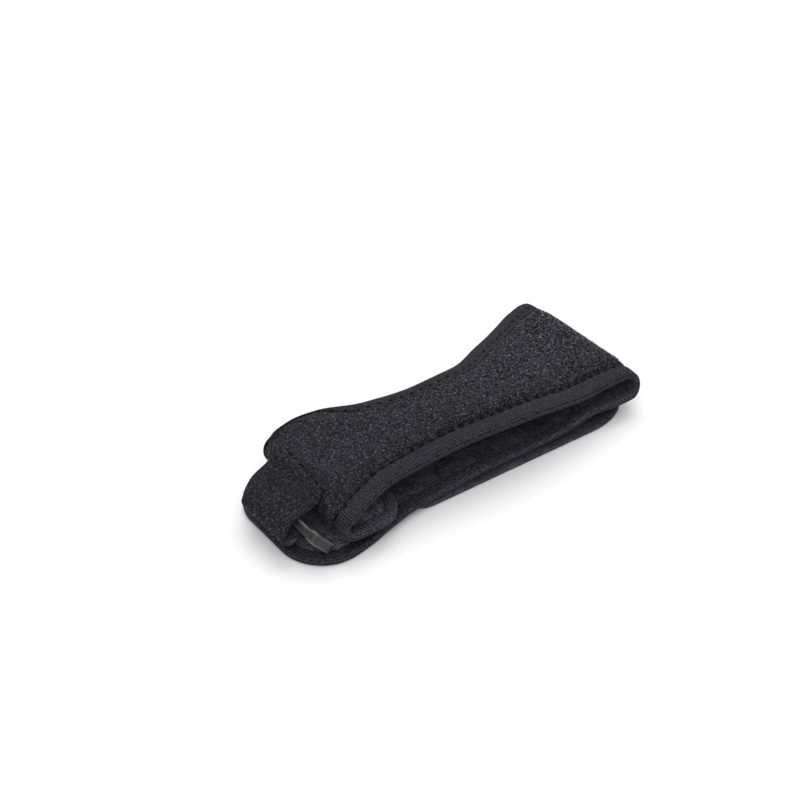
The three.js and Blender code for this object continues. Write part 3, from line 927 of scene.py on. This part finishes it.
def makeTabStitches(tree, thread):
    # one row along the seam, on the outer face
    inset = tab["seamInset"]
    near, far = edgeOf(tabRun, "near", inset), edgeOf(tabRun, "far", inset)
    share = np.linspace(*tab["stitchSpan"], round((far - near) / tab["stitchPitch"]) + 1)
    step = 0.03

    def onSeam(share, lift):
        return placeOn(tabRun, slanted(inset, share), near + (far - near) * share, -lift)

    lift = tabHalf(inset) - tab["seamDip"] - stitch["sink"] + stitch["height"] / 2
    points = onSeam(share, lift)
    along = onSeam(share + step, lift) - onSeam(share - step, lift)
    return sewStitches("tabStitches", points, along, onSeam(share, lift + 0.5) - points, tree, thread)


def makeTab(outerCloth, innerCloth):
    # the run goes leftwards, so its upper side is the inside of the loop
    s = np.linspace(0, tabLength, round(tabLength / tab["step"]))[:, None]
    share = np.linspace(0, 1, tab["columns"])
    station = slanted(s, share)
    near, far = edgeOf(tabRun, "near", s), edgeOf(tabRun, "far", s)
    width = far - near
    y = near + width * share
    distance = np.minimum(np.minimum(share, 1 - share) * width, np.minimum(s, tabLength - s))
    half = tabHalf(s)
    eased = roundedEdge(distance, half, tab["edgeLeast"])
    seam = tab["seamDip"] * np.exp(-((s - tab["seamInset"]) / tab["seamWidth"]) ** 2)
    laid = 1 - smoothStep(*tab["laidRun"], s)
    rng = np.random.default_rng(tab["seed"])
    sides = []
    for side in (1, -1):
        relief = tab["loopHeight"] * grain(rng, *y.shape, 1) * smoothStep(*tab["loopRun"], distance)
        if side > 0:
            height = half * (eased + (1 - eased) * laid) + tab["seamSink"] * laid
        else:
            height = half * eased + np.minimum(relief, tab["loopMost"]) - seam
        sides.append(placeOn(tabRun, station, y, side * height))
    piece = makeSheet("ringTab", *sides, station, y, tab["patternAt"], [innerCloth, outerCloth])
    markPoints(piece, {"loopFace": np.stack([np.zeros(y.shape), distance > tab["napClear"]])})
    return piece, (width.max(), tabLength), np.trapz(width[:, 0], s[:, 0])


# the ring: one moulded loop, its bar a rounded square
ring = {
    "length": 43.0,
    "spacing": 9.0,
    "bar": 3.2,
    "depth": 3.2,
    "endDepth": 4.4,
    "endLength": 4.2,
    "endRamp": 1.4,
    "corner": 3.4,
    "ease": 0.9,
    "paintedLightAmount": 0.25,  # how far the painted highlight on its edges reaches past their rounding
    "slant": 49.5,
    "place": (-70.7, -12.3, 8.7),
    "patternAt": (40, 40),
    "pathPoints": (10, 24),  # mesh points in each corner and along each side
    "barPoints": (7, 4),
}


def roundedLoop(halfLong, halfWide, radius, perCorner, straight):
    # closed path of a rounded rectangle with its outward normals
    path, normals = [], []
    for k, (sx, sy) in enumerate(((1, 1), (-1, 1), (-1, -1), (1, -1))):
        for a in np.linspace(0, math.pi / 2, perCorner):
            angle = k * math.pi / 2 + a
            n = np.array([math.cos(angle), math.sin(angle)])
            path.append(np.array([sx * (halfLong - radius), sy * (halfWide - radius)]) + n * radius)
            normals.append(n)
    points, ways = [], []
    for i, here in enumerate(path):
        ahead = path[(i + 1) % len(path)]
        count = straight if np.linalg.norm(ahead - here) > radius else 1
        for t in np.arange(count) / count:
            points.append(here + (ahead - here) * t)
            ways.append(normals[i])
    return np.array(points), np.array(ways)


def makeRing(plastic):
    halfLong, halfBar = ring["length"] / 2, ring["bar"] / 2
    halfWide, radius = ring["spacing"] / 2, ring["corner"] - halfBar
    path, ways = roundedLoop(halfLong - halfBar, halfWide, radius, *ring["pathPoints"])
    bar, _ = roundedLoop(halfBar, ring["depth"] / 2, ring["ease"], *ring["barPoints"])
    points = path[:, None, :] + ways[:, None, :] * bar[None, :, :1]
    toEnd = halfLong - np.abs(path[:, 0])
    thicken = smoothStep(ring["endLength"] + ring["endRamp"], ring["endLength"] - ring["endRamp"], toEnd)
    grow = thicken * (ring["endDepth"] - ring["depth"]) / 2
    height = bar[None, :, 1] + np.sign(bar[None, :, 1]) * grow[:, None]
    local = np.stack([-points[..., 1], points[..., 0], height], -1).reshape(-1, 3)
    slant = math.radians(ring["slant"])
    x = local[:, 0] * math.cos(slant) + local[:, 2] * math.sin(slant)
    z = -local[:, 0] * math.sin(slant) + local[:, 2] * math.cos(slant)
    placed = np.stack([x, local[:, 1], z], -1) + np.array(ring["place"]) + drawingZero
    quads = hoopFaces(*height.shape)[:, [0, 3, 2, 1]]
    piece = makePiece("ringLoop", placed, quads, local[:, :2] + ring["patternAt"], [plastic])
    # the rim mark: where its rounded edges get a painted highlight
    inset = np.array([ring["bar"], ring["depth"]]) / 2 - np.abs(bar)
    rim = 1 - smoothStep(0.0, ring["ease"] + ring["paintedLightAmount"], inset.max(axis=1))
    markPoints(piece, {"rim": np.tile(rim, len(path))})
    return piece


# the closing strap: lies flat on the table under the band
strap = {
    "left": -30.0,
    "right": drawing["strapRight"],
    "near": drawing["strapNear"],
    "far": 20.0,
    "leftCorner": 10.0,
    "endCorner": 16.5,
    "endRun": 25.0,  # how far along the strap its rounded end reaches
    "wall": 2.4,
    "edgeRound": 1.1,
    "edgeLeast": 0.05,
    "edgeShare": 0.06,  # of the width, with close columns for the rounded edge
    "edgeColumns": 25,
    "columns": 62,
    "cornerRows": 26,
    "rimPoints": 12,
    "step": 0.8,
    "knitHeight": 0.05,
    "knitRun": (1, 3),
    "patternAt": (60, 60),
    "seed": 37,
}


def makeStrap(cloth):
    step, edgeShare = strap["step"], strap["edgeShare"]
    opening = 1 - np.cos(np.linspace(0, math.pi / 2, strap["cornerRows"]))
    start = strap["left"] + strap["leftCorner"] * opening
    end = strap["right"] - strap["endRun"] * opening
    x = np.concatenate([start, np.arange(start[-1] + step, end[-1] - step / 2, step), end[::-1]])
    back = np.zeros(len(x))
    for room, run, corner in (
        (x - strap["left"], strap["leftCorner"], strap["leftCorner"]),
        (strap["right"] - x, strap["endRun"], strap["endCorner"]),
    ):
        reach = np.clip(1 - room / run, 0, 1)
        back += corner * (1 - np.sqrt(1 - reach ** 2))
    near, far = strap["near"] + back, strap["far"] - back
    edge = (1 - np.cos(np.linspace(0, math.pi, strap["edgeColumns"]))) / 2 * edgeShare
    share = np.linspace(edgeShare, 1 - edgeShare, strap["columns"])
    share = np.concatenate([edge, share[1:-1], 1 - edge[::-1]])
    y = near[:, None] + (far - near)[:, None] * share
    station = np.repeat(x[:, None], y.shape[1], axis=1)
    rim = np.vstack([np.stack([x, near], -1), np.stack([x, far], -1)[::-1]])
    dense = np.linspace(0, 1, strap["rimPoints"], endpoint=False)[:, None]
    rim = np.vstack([a + (b - a) * dense for a, b in zip(rim, np.roll(rim, -1, axis=0))])
    distance, _ = nearestOn(rim, station, y)
    half = strap["wall"] / 2
    eased = half * roundedEdge(distance, strap["edgeRound"], strap["edgeLeast"])
    rng = np.random.default_rng(strap["seed"])
    lumps = strap["knitHeight"] * grain(rng, *y.shape, 1) * smoothStep(*strap["knitRun"], distance)
    top = half + eased + np.minimum(lumps, 0)
    sides = [np.stack([station, y, z], -1) + drawingZero for z in (top, half - eased)]
    piece = makeSheet("closingStrap", *sides, station, y, strap["patternAt"], [cloth])
    return piece, (strap["far"] - strap["near"], strap["right"] - strap["left"]), np.trapz(far - near, x)


waveScale = 2 * math.pi / 20 / mm  # a wave texture has one band for each mm at this scale


def twoTones(look, share):
    # settings that mix a look's dark and light tones
    return {"data_type": "RGBA", 0: share, 6: linear(look["dark"]), 7: linear(look["light"])}


def finishMaterial(add, look, colour, shine, height):
    # marked points shade the colour, a grain breaks up the gloss and a height bumps the surface
    for mark, strength in look.get("marks", {}).items():
        here = add("Attribute", {"attribute_name": mark}).outputs["Fac"]
        shade = add("MapRange", {"clamp": False, "To Min": 1.0, "To Max": strength, "Value": here})
        colour = add("Mix", {"data_type": "RGBA", "blend_type": "MULTIPLY", 0: 1.0, 6: colour, 7: shade})
    bump = {"Strength": look["bumpStrength"], "Distance": look["bump"] * mm, "Height": height}
    shader = add("BsdfPrincipled", {
        **look["shader"],
        "Base Color": colour,
        "Roughness": add("MapRange", {**look["gloss"], "Value": shine}),
        "Normal": add("Bump", bump),
    })
    add("OutputMaterial", {"Surface": shader})


# the cloth is all nylon, dull with a faint sheen
nylon = {"IOR": 1.53, "Sheen Tint": linear("#cdcbdc")}

# loop-faced nylon on foam, brushed: dull charcoal with fine curled loops, and pale specks for paler fibres
# and painted glints
pile = {
    "dark": "#0a090c",
    "light": "#5e5d68",
    "speck": "#82808c",
    "even": "#2c2b31",  # tone that the grain fades to where the pile lies flat
    "calm": 0.3,
    "loop": 0.64,  # drawn a little coarser than the real loops, so that they show
    "curl": 0.42,
    "fibre": 0.3,
    "patch": 11.0,
    "loopWeight": 0.8,
    "curlWeight": 0.6,
    "tone": {"From Min": 0.5, "From Max": 2.0},
    "sharpness": 2.8,
    "specks": {"From Min": 0.94, "From Max": 1.0},
    "wear": {"To Min": 0.75, "To Max": 1.25},
    "marks": {"pressed": 0.25},  # painted shade beside the near seam, darker towards the hem, and a painted highlight over the fold
    "hollow": -0.9,
    "bump": 0.25,
    "bumpStrength": 0.9,
    "gloss": {"To Min": 0.98, "To Max": 0.78},
    "shader": {**nylon, "Specular IOR Level": 0.05, "Sheen Weight": 0.03, "Sheen Roughness": 0.5},
}
# a darker copy of the band's pile with calmer grain: painted shade on the tab
tabShadedPileLook = {**pile, "dark": "#121115", "light": "#45444d", "speck": "#5b5964", "even": "#232327"}


def pileMaterial(name, look):
    grains = ((look["fibre"], 2.0), (look["patch"], 3.0))
    material, add, place, fibres, patches = newMaterial(name, grains)
    loops, curls = (
        add("TexVoronoi", {"Scale": 1 / (look[size] * mm), "Vector": place}) for size in ("loop", "curl")
    )
    loopTone, curlTone = (
        add("SeparateColor", {"Color": cells.outputs["Color"]}).outputs for cells in (loops, curls)
    )
    finer = add("Math", {
        "operation": "MULTIPLY_ADD", 0: curlTone["Red"], 1: look["curlWeight"], 2: fibres,
    })
    tone = add("Math", {
        "operation": "MULTIPLY_ADD", 0: loopTone["Red"], 1: look["loopWeight"], 2: finer,
    })
    spread = add("MapRange", {**look["tone"], "Value": tone})
    sharp = add("Math", {"operation": "POWER", 0: spread, 1: look["sharpness"]})
    body = add("Mix", twoTones(look, sharp))
    # pale specks: partly paler fibres, partly painted glints
    specks = add("MapRange", {**look["specks"], "Value": curlTone["Green"]})
    glinting = add("Mix", {"data_type": "RGBA", 0: specks, 6: body, 7: linear(look["speck"])})
    brushed = add("Attribute", {"attribute_name": "brushed"}).outputs["Fac"]
    calm = add("MapRange", {"To Min": look["calm"], "To Max": -look["calm"], "Value": brushed})
    evened = add("Mix", {
        "data_type": "RGBA", "clamp_factor": False, "clamp_result": True,
        0: calm, 6: glinting, 7: linear(look["even"]),
    })
    wear = add("MapRange", {**look["wear"], "Value": patches})
    worn = add("Mix", {"data_type": "RGBA", "blend_type": "MULTIPLY", 0: 1.0, 6: evened, 7: wear})
    height = add("Math", {
        "operation": "MULTIPLY_ADD", 0: loops.outputs["Distance"], 1: look["hollow"], 2: fibres,
    })
    finishMaterial(add, look, worn, fibres, height)
    return material


# jersey-knit nylon, bonded to the foam: small soft bumps in rows, flatter than the pile, blotched with wear
knit = {
    "dark": "#1a181d",
    "light": "#504e57",
    "marks": {"handled": 2.2},  # painted light, paler on the tongue and inside the hem roll
    "wale": 1.5,
    "course": 1.2,
    "lump": 1.3,
    "patch": 5.0,
    "rowWeight": 0.4,
    "patchWeight": 0.8,
    "distortion": 1.5,
    "tone": {"From Min": 0.7, "From Max": 1.35},
    "bump": 0.3,
    "bumpStrength": 0.8,
    "gloss": {"To Min": 0.95, "To Max": 0.75},
    "shader": {**nylon, "Specular IOR Level": 0.08, "Sheen Weight": 0.03, "Sheen Roughness": 0.4},
}
strapKnit = {**knit, "dark": "#252329", "light": "#494750", "wale": 1.0, "course": 0.9, "bump": 0.1}


def knitMaterial(name, look):
    grains = ((look["lump"], 3.0), (look["patch"], 2.0))
    material, add, _, lumps, patches = newMaterial(name, grains)
    flat = add("UVMap", {"uv_map": "flatPattern"})
    wales, courses = (
        add("TexWave", {
            "bands_direction": way, "Scale": waveScale / pitch,
            "Distortion": look["distortion"], "Vector": flat,
        }).outputs["Fac"]
        for way, pitch in (("Y", look["wale"]), ("X", look["course"]))
    )
    rows = add("Math", {"operation": "MULTIPLY", 0: wales, 1: courses})
    height = add("Math", {"operation": "MULTIPLY_ADD", 0: rows, 1: look["rowWeight"], 2: lumps})
    worn = add("Math", {"operation": "MULTIPLY_ADD", 0: patches, 1: look["patchWeight"], 2: height})
    tone = add("MapRange", {**look["tone"], "Value": worn})
    finishMaterial(add, look, add("Mix", twoTones(look, tone)), lumps, height)
    return material


# knitted elastic binding, nylon over rubber thread: fine ribs along it, a little smoother than the pile
ribbed = {
    "dark": "#09080a",
    "light": "#3c3a43",
    "marks": {"innerHalf": 1.9, "groove": 0.3},  # painted light on its back, painted shade along the seam
    "thread": 0.85,
    "ribSway": 0.4,
    "threadSway": 0.6,
    "fuzz": 0.8,
    "fuzzWeight": 1.6,
    "tone": {"From Min": 0.76, "From Max": 1.34},
    "bump": 0.14,
    "bumpStrength": 0.8,
    "gloss": {"To Min": 0.85, "To Max": 0.62},
    "shader": {**nylon, "Specular IOR Level": 0.12, "Sheen Weight": 0.04, "Sheen Roughness": 0.35},
}


def tapeMaterial():
    material, add, _, fuzz = newMaterial("ribbed elastic tape", ((ribbed["fuzz"], 2.0),))
    flat = add("UVMap", {"uv_map": "flatPattern"})
    ribs = add("TexWave", {
        "bands_direction": "Y", "Scale": waveScale / tape["ribPitch"], "Distortion": ribbed["ribSway"],
        "Phase Offset": math.pi / 2, "Vector": flat,
    }).outputs["Fac"]
    picks = add("TexWave", {
        "bands_direction": "X", "Scale": waveScale / ribbed["thread"], "Distortion": ribbed["threadSway"],
        "Vector": flat,
    }).outputs["Fac"]
    dots = add("Math", {"operation": "MULTIPLY", 0: picks, 1: ribs})
    height = add("Math", {"operation": "MULTIPLY_ADD", 0: fuzz, 1: ribbed["fuzzWeight"], 2: dots})
    tone = add("MapRange", {**ribbed["tone"], "Value": height})
    finishMaterial(add, ribbed, add("Mix", twoTones(ribbed, tone)), fuzz, height)
    return material


# moulded acetal: satin grey, faint flow marks and scuffs, a painted highlight on its edges
acetal = {
    "dark": "#151517",
    "light": "#323233",
    # colour of the painted highlight on its edges
    "rim": "#767678",
    "flow": 1.6,
    "grit": 0.35,
    "bump": 0.05,
    "bumpStrength": 0.3,
    "gloss": {"To Min": 0.26, "To Max": 0.46},
    "shader": {"IOR": 1.48, "Specular IOR Level": 0.4},
}


def acetalMaterial():
    grains = ((acetal["flow"], 4.0), (acetal["grit"], 2.0))
    material, add, _, flow, grit = newMaterial("moulded grey acetal", grains)
    body = add("Mix", twoTones(acetal, flow))
    # painted highlight along the rounded edges, broken up by the flow marks
    rim = add("Attribute", {"attribute_name": "rim"}).outputs["Fac"]
    paintedLightAmount = add("Math", {"operation": "MULTIPLY", 0: rim, 1: flow})
    edged = add("Mix", {"data_type": "RGBA", 0: paintedLightAmount, 6: body, 7: linear(acetal["rim"])})
    finishMaterial(add, acetal, edged, flow, grit)
    return material


# the pile's nylon as single curled loops: paler against the body, a soft glint along each fibre
curled = {
    "dark": "#222127",
    "light": "#797783",
    "grain": (0.64, 1.0),  # size in mm and detail
    "tone": {"From Min": 0.35, "From Max": 0.65},
    "gloss": {"To Min": 0.4, "To Max": 0.65},
    "bump": 0.0,
    "bumpStrength": 0.5,
    "shader": {"IOR": 1.53, "Specular IOR Level": 0.4},
}
# spun polyester sewing thread: nearly black, two plies twisted, the bobbin's greyer
spun = {
    "dark": "#030304",
    "light": "#0b0a0d",
    "grain": (0.4, 2.0),
    "tone": {"From Min": 0.0, "From Max": 1.0},
    "gloss": {"To Min": 0.6, "To Max": 0.85},
    "bump": 0.08,
    "bumpStrength": 0.5,
    "shader": {"IOR": 1.55, "Specular IOR Level": 0.06},
}
bobbinSpun = {**spun, "dark": "#1a191e", "light": "#2c2a31"}


def strandMaterial(name, look):
    material, add, _, twist = newMaterial(name, (look["grain"],))
    tone = add("MapRange", {**look["tone"], "Value": twist})
    finishMaterial(add, look, add("Mix", twoTones(look, tone)), twist, twist)
    return material


makeStudio()
loopPile = pileMaterial("brushed loop nylon", pile)
tabPile = pileMaterial("brushed loop nylon, tab", tabShadedPileLook)
fibre = strandMaterial("curled nylon fibre", curled)
lining = knitMaterial("jersey-knit nylon lining", knit)
strapCloth = knitMaterial("smooth-knit nylon strap", strapKnit)
elastic = tapeMaterial()
acetalGrey = acetalMaterial()
thread = strandMaterial("spun polyester thread", spun)
bobbin = strandMaterial("spun polyester bobbin thread", bobbinSpun)
print("materials ready")

bandCloth, bandFlat, bandArea = makeBand(loopPile, lining)
edgeTape, tapeFlat = makeTape(elastic)
ringTab, tabFlat, tabArea = makeTab(tabPile, lining)
ringLoop = makeRing(acetalGrey)
closingStrap, strapFlat, strapArea = makeStrap(strapCloth)
sewing = stitchTree()
edgeStitches, innerStitches = makeEdgeStitches(sewing, thread, bobbin)
tabStitches = makeTabStitches(sewing, thread)
loopNap = napTree()
bandNap = makeNap("bandNap", bandCloth, loopNap, fibre)
tabNap = makeNap("tabNap", ringTab, loopNap, fibre)

# each piece with its slot, the solid it replaces and, for sheets, the cut size from its flat pattern
for piece, slot, node, sheet in (
    (bandCloth, "loop_cloth", "band", (*bandFlat, bandArea, "folded")),
    (edgeTape, "elastic_tape", "edge_binding", (*tapeFlat, math.prod(tapeFlat), "folded")),
    (ringTab, "tab_cloth", "ring_tab", (*tabFlat, tabArea, "folded")),
    (ringLoop, "ring_plastic", "ring", None),
    (closingStrap, "strap_cloth", "closing_strap", (*strapFlat, strapArea, "laid")),
    (edgeStitches, "elastic_tape", None, None),
    (innerStitches, "elastic_tape", None, None),
    (tabStitches, "tab_cloth", None, None),
    (bandNap, "loop_cloth", None, None),
    (tabNap, "tab_cloth", None, None),
):
    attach(piece, "root")
    if node:
        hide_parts(node)

print("pieces placed")
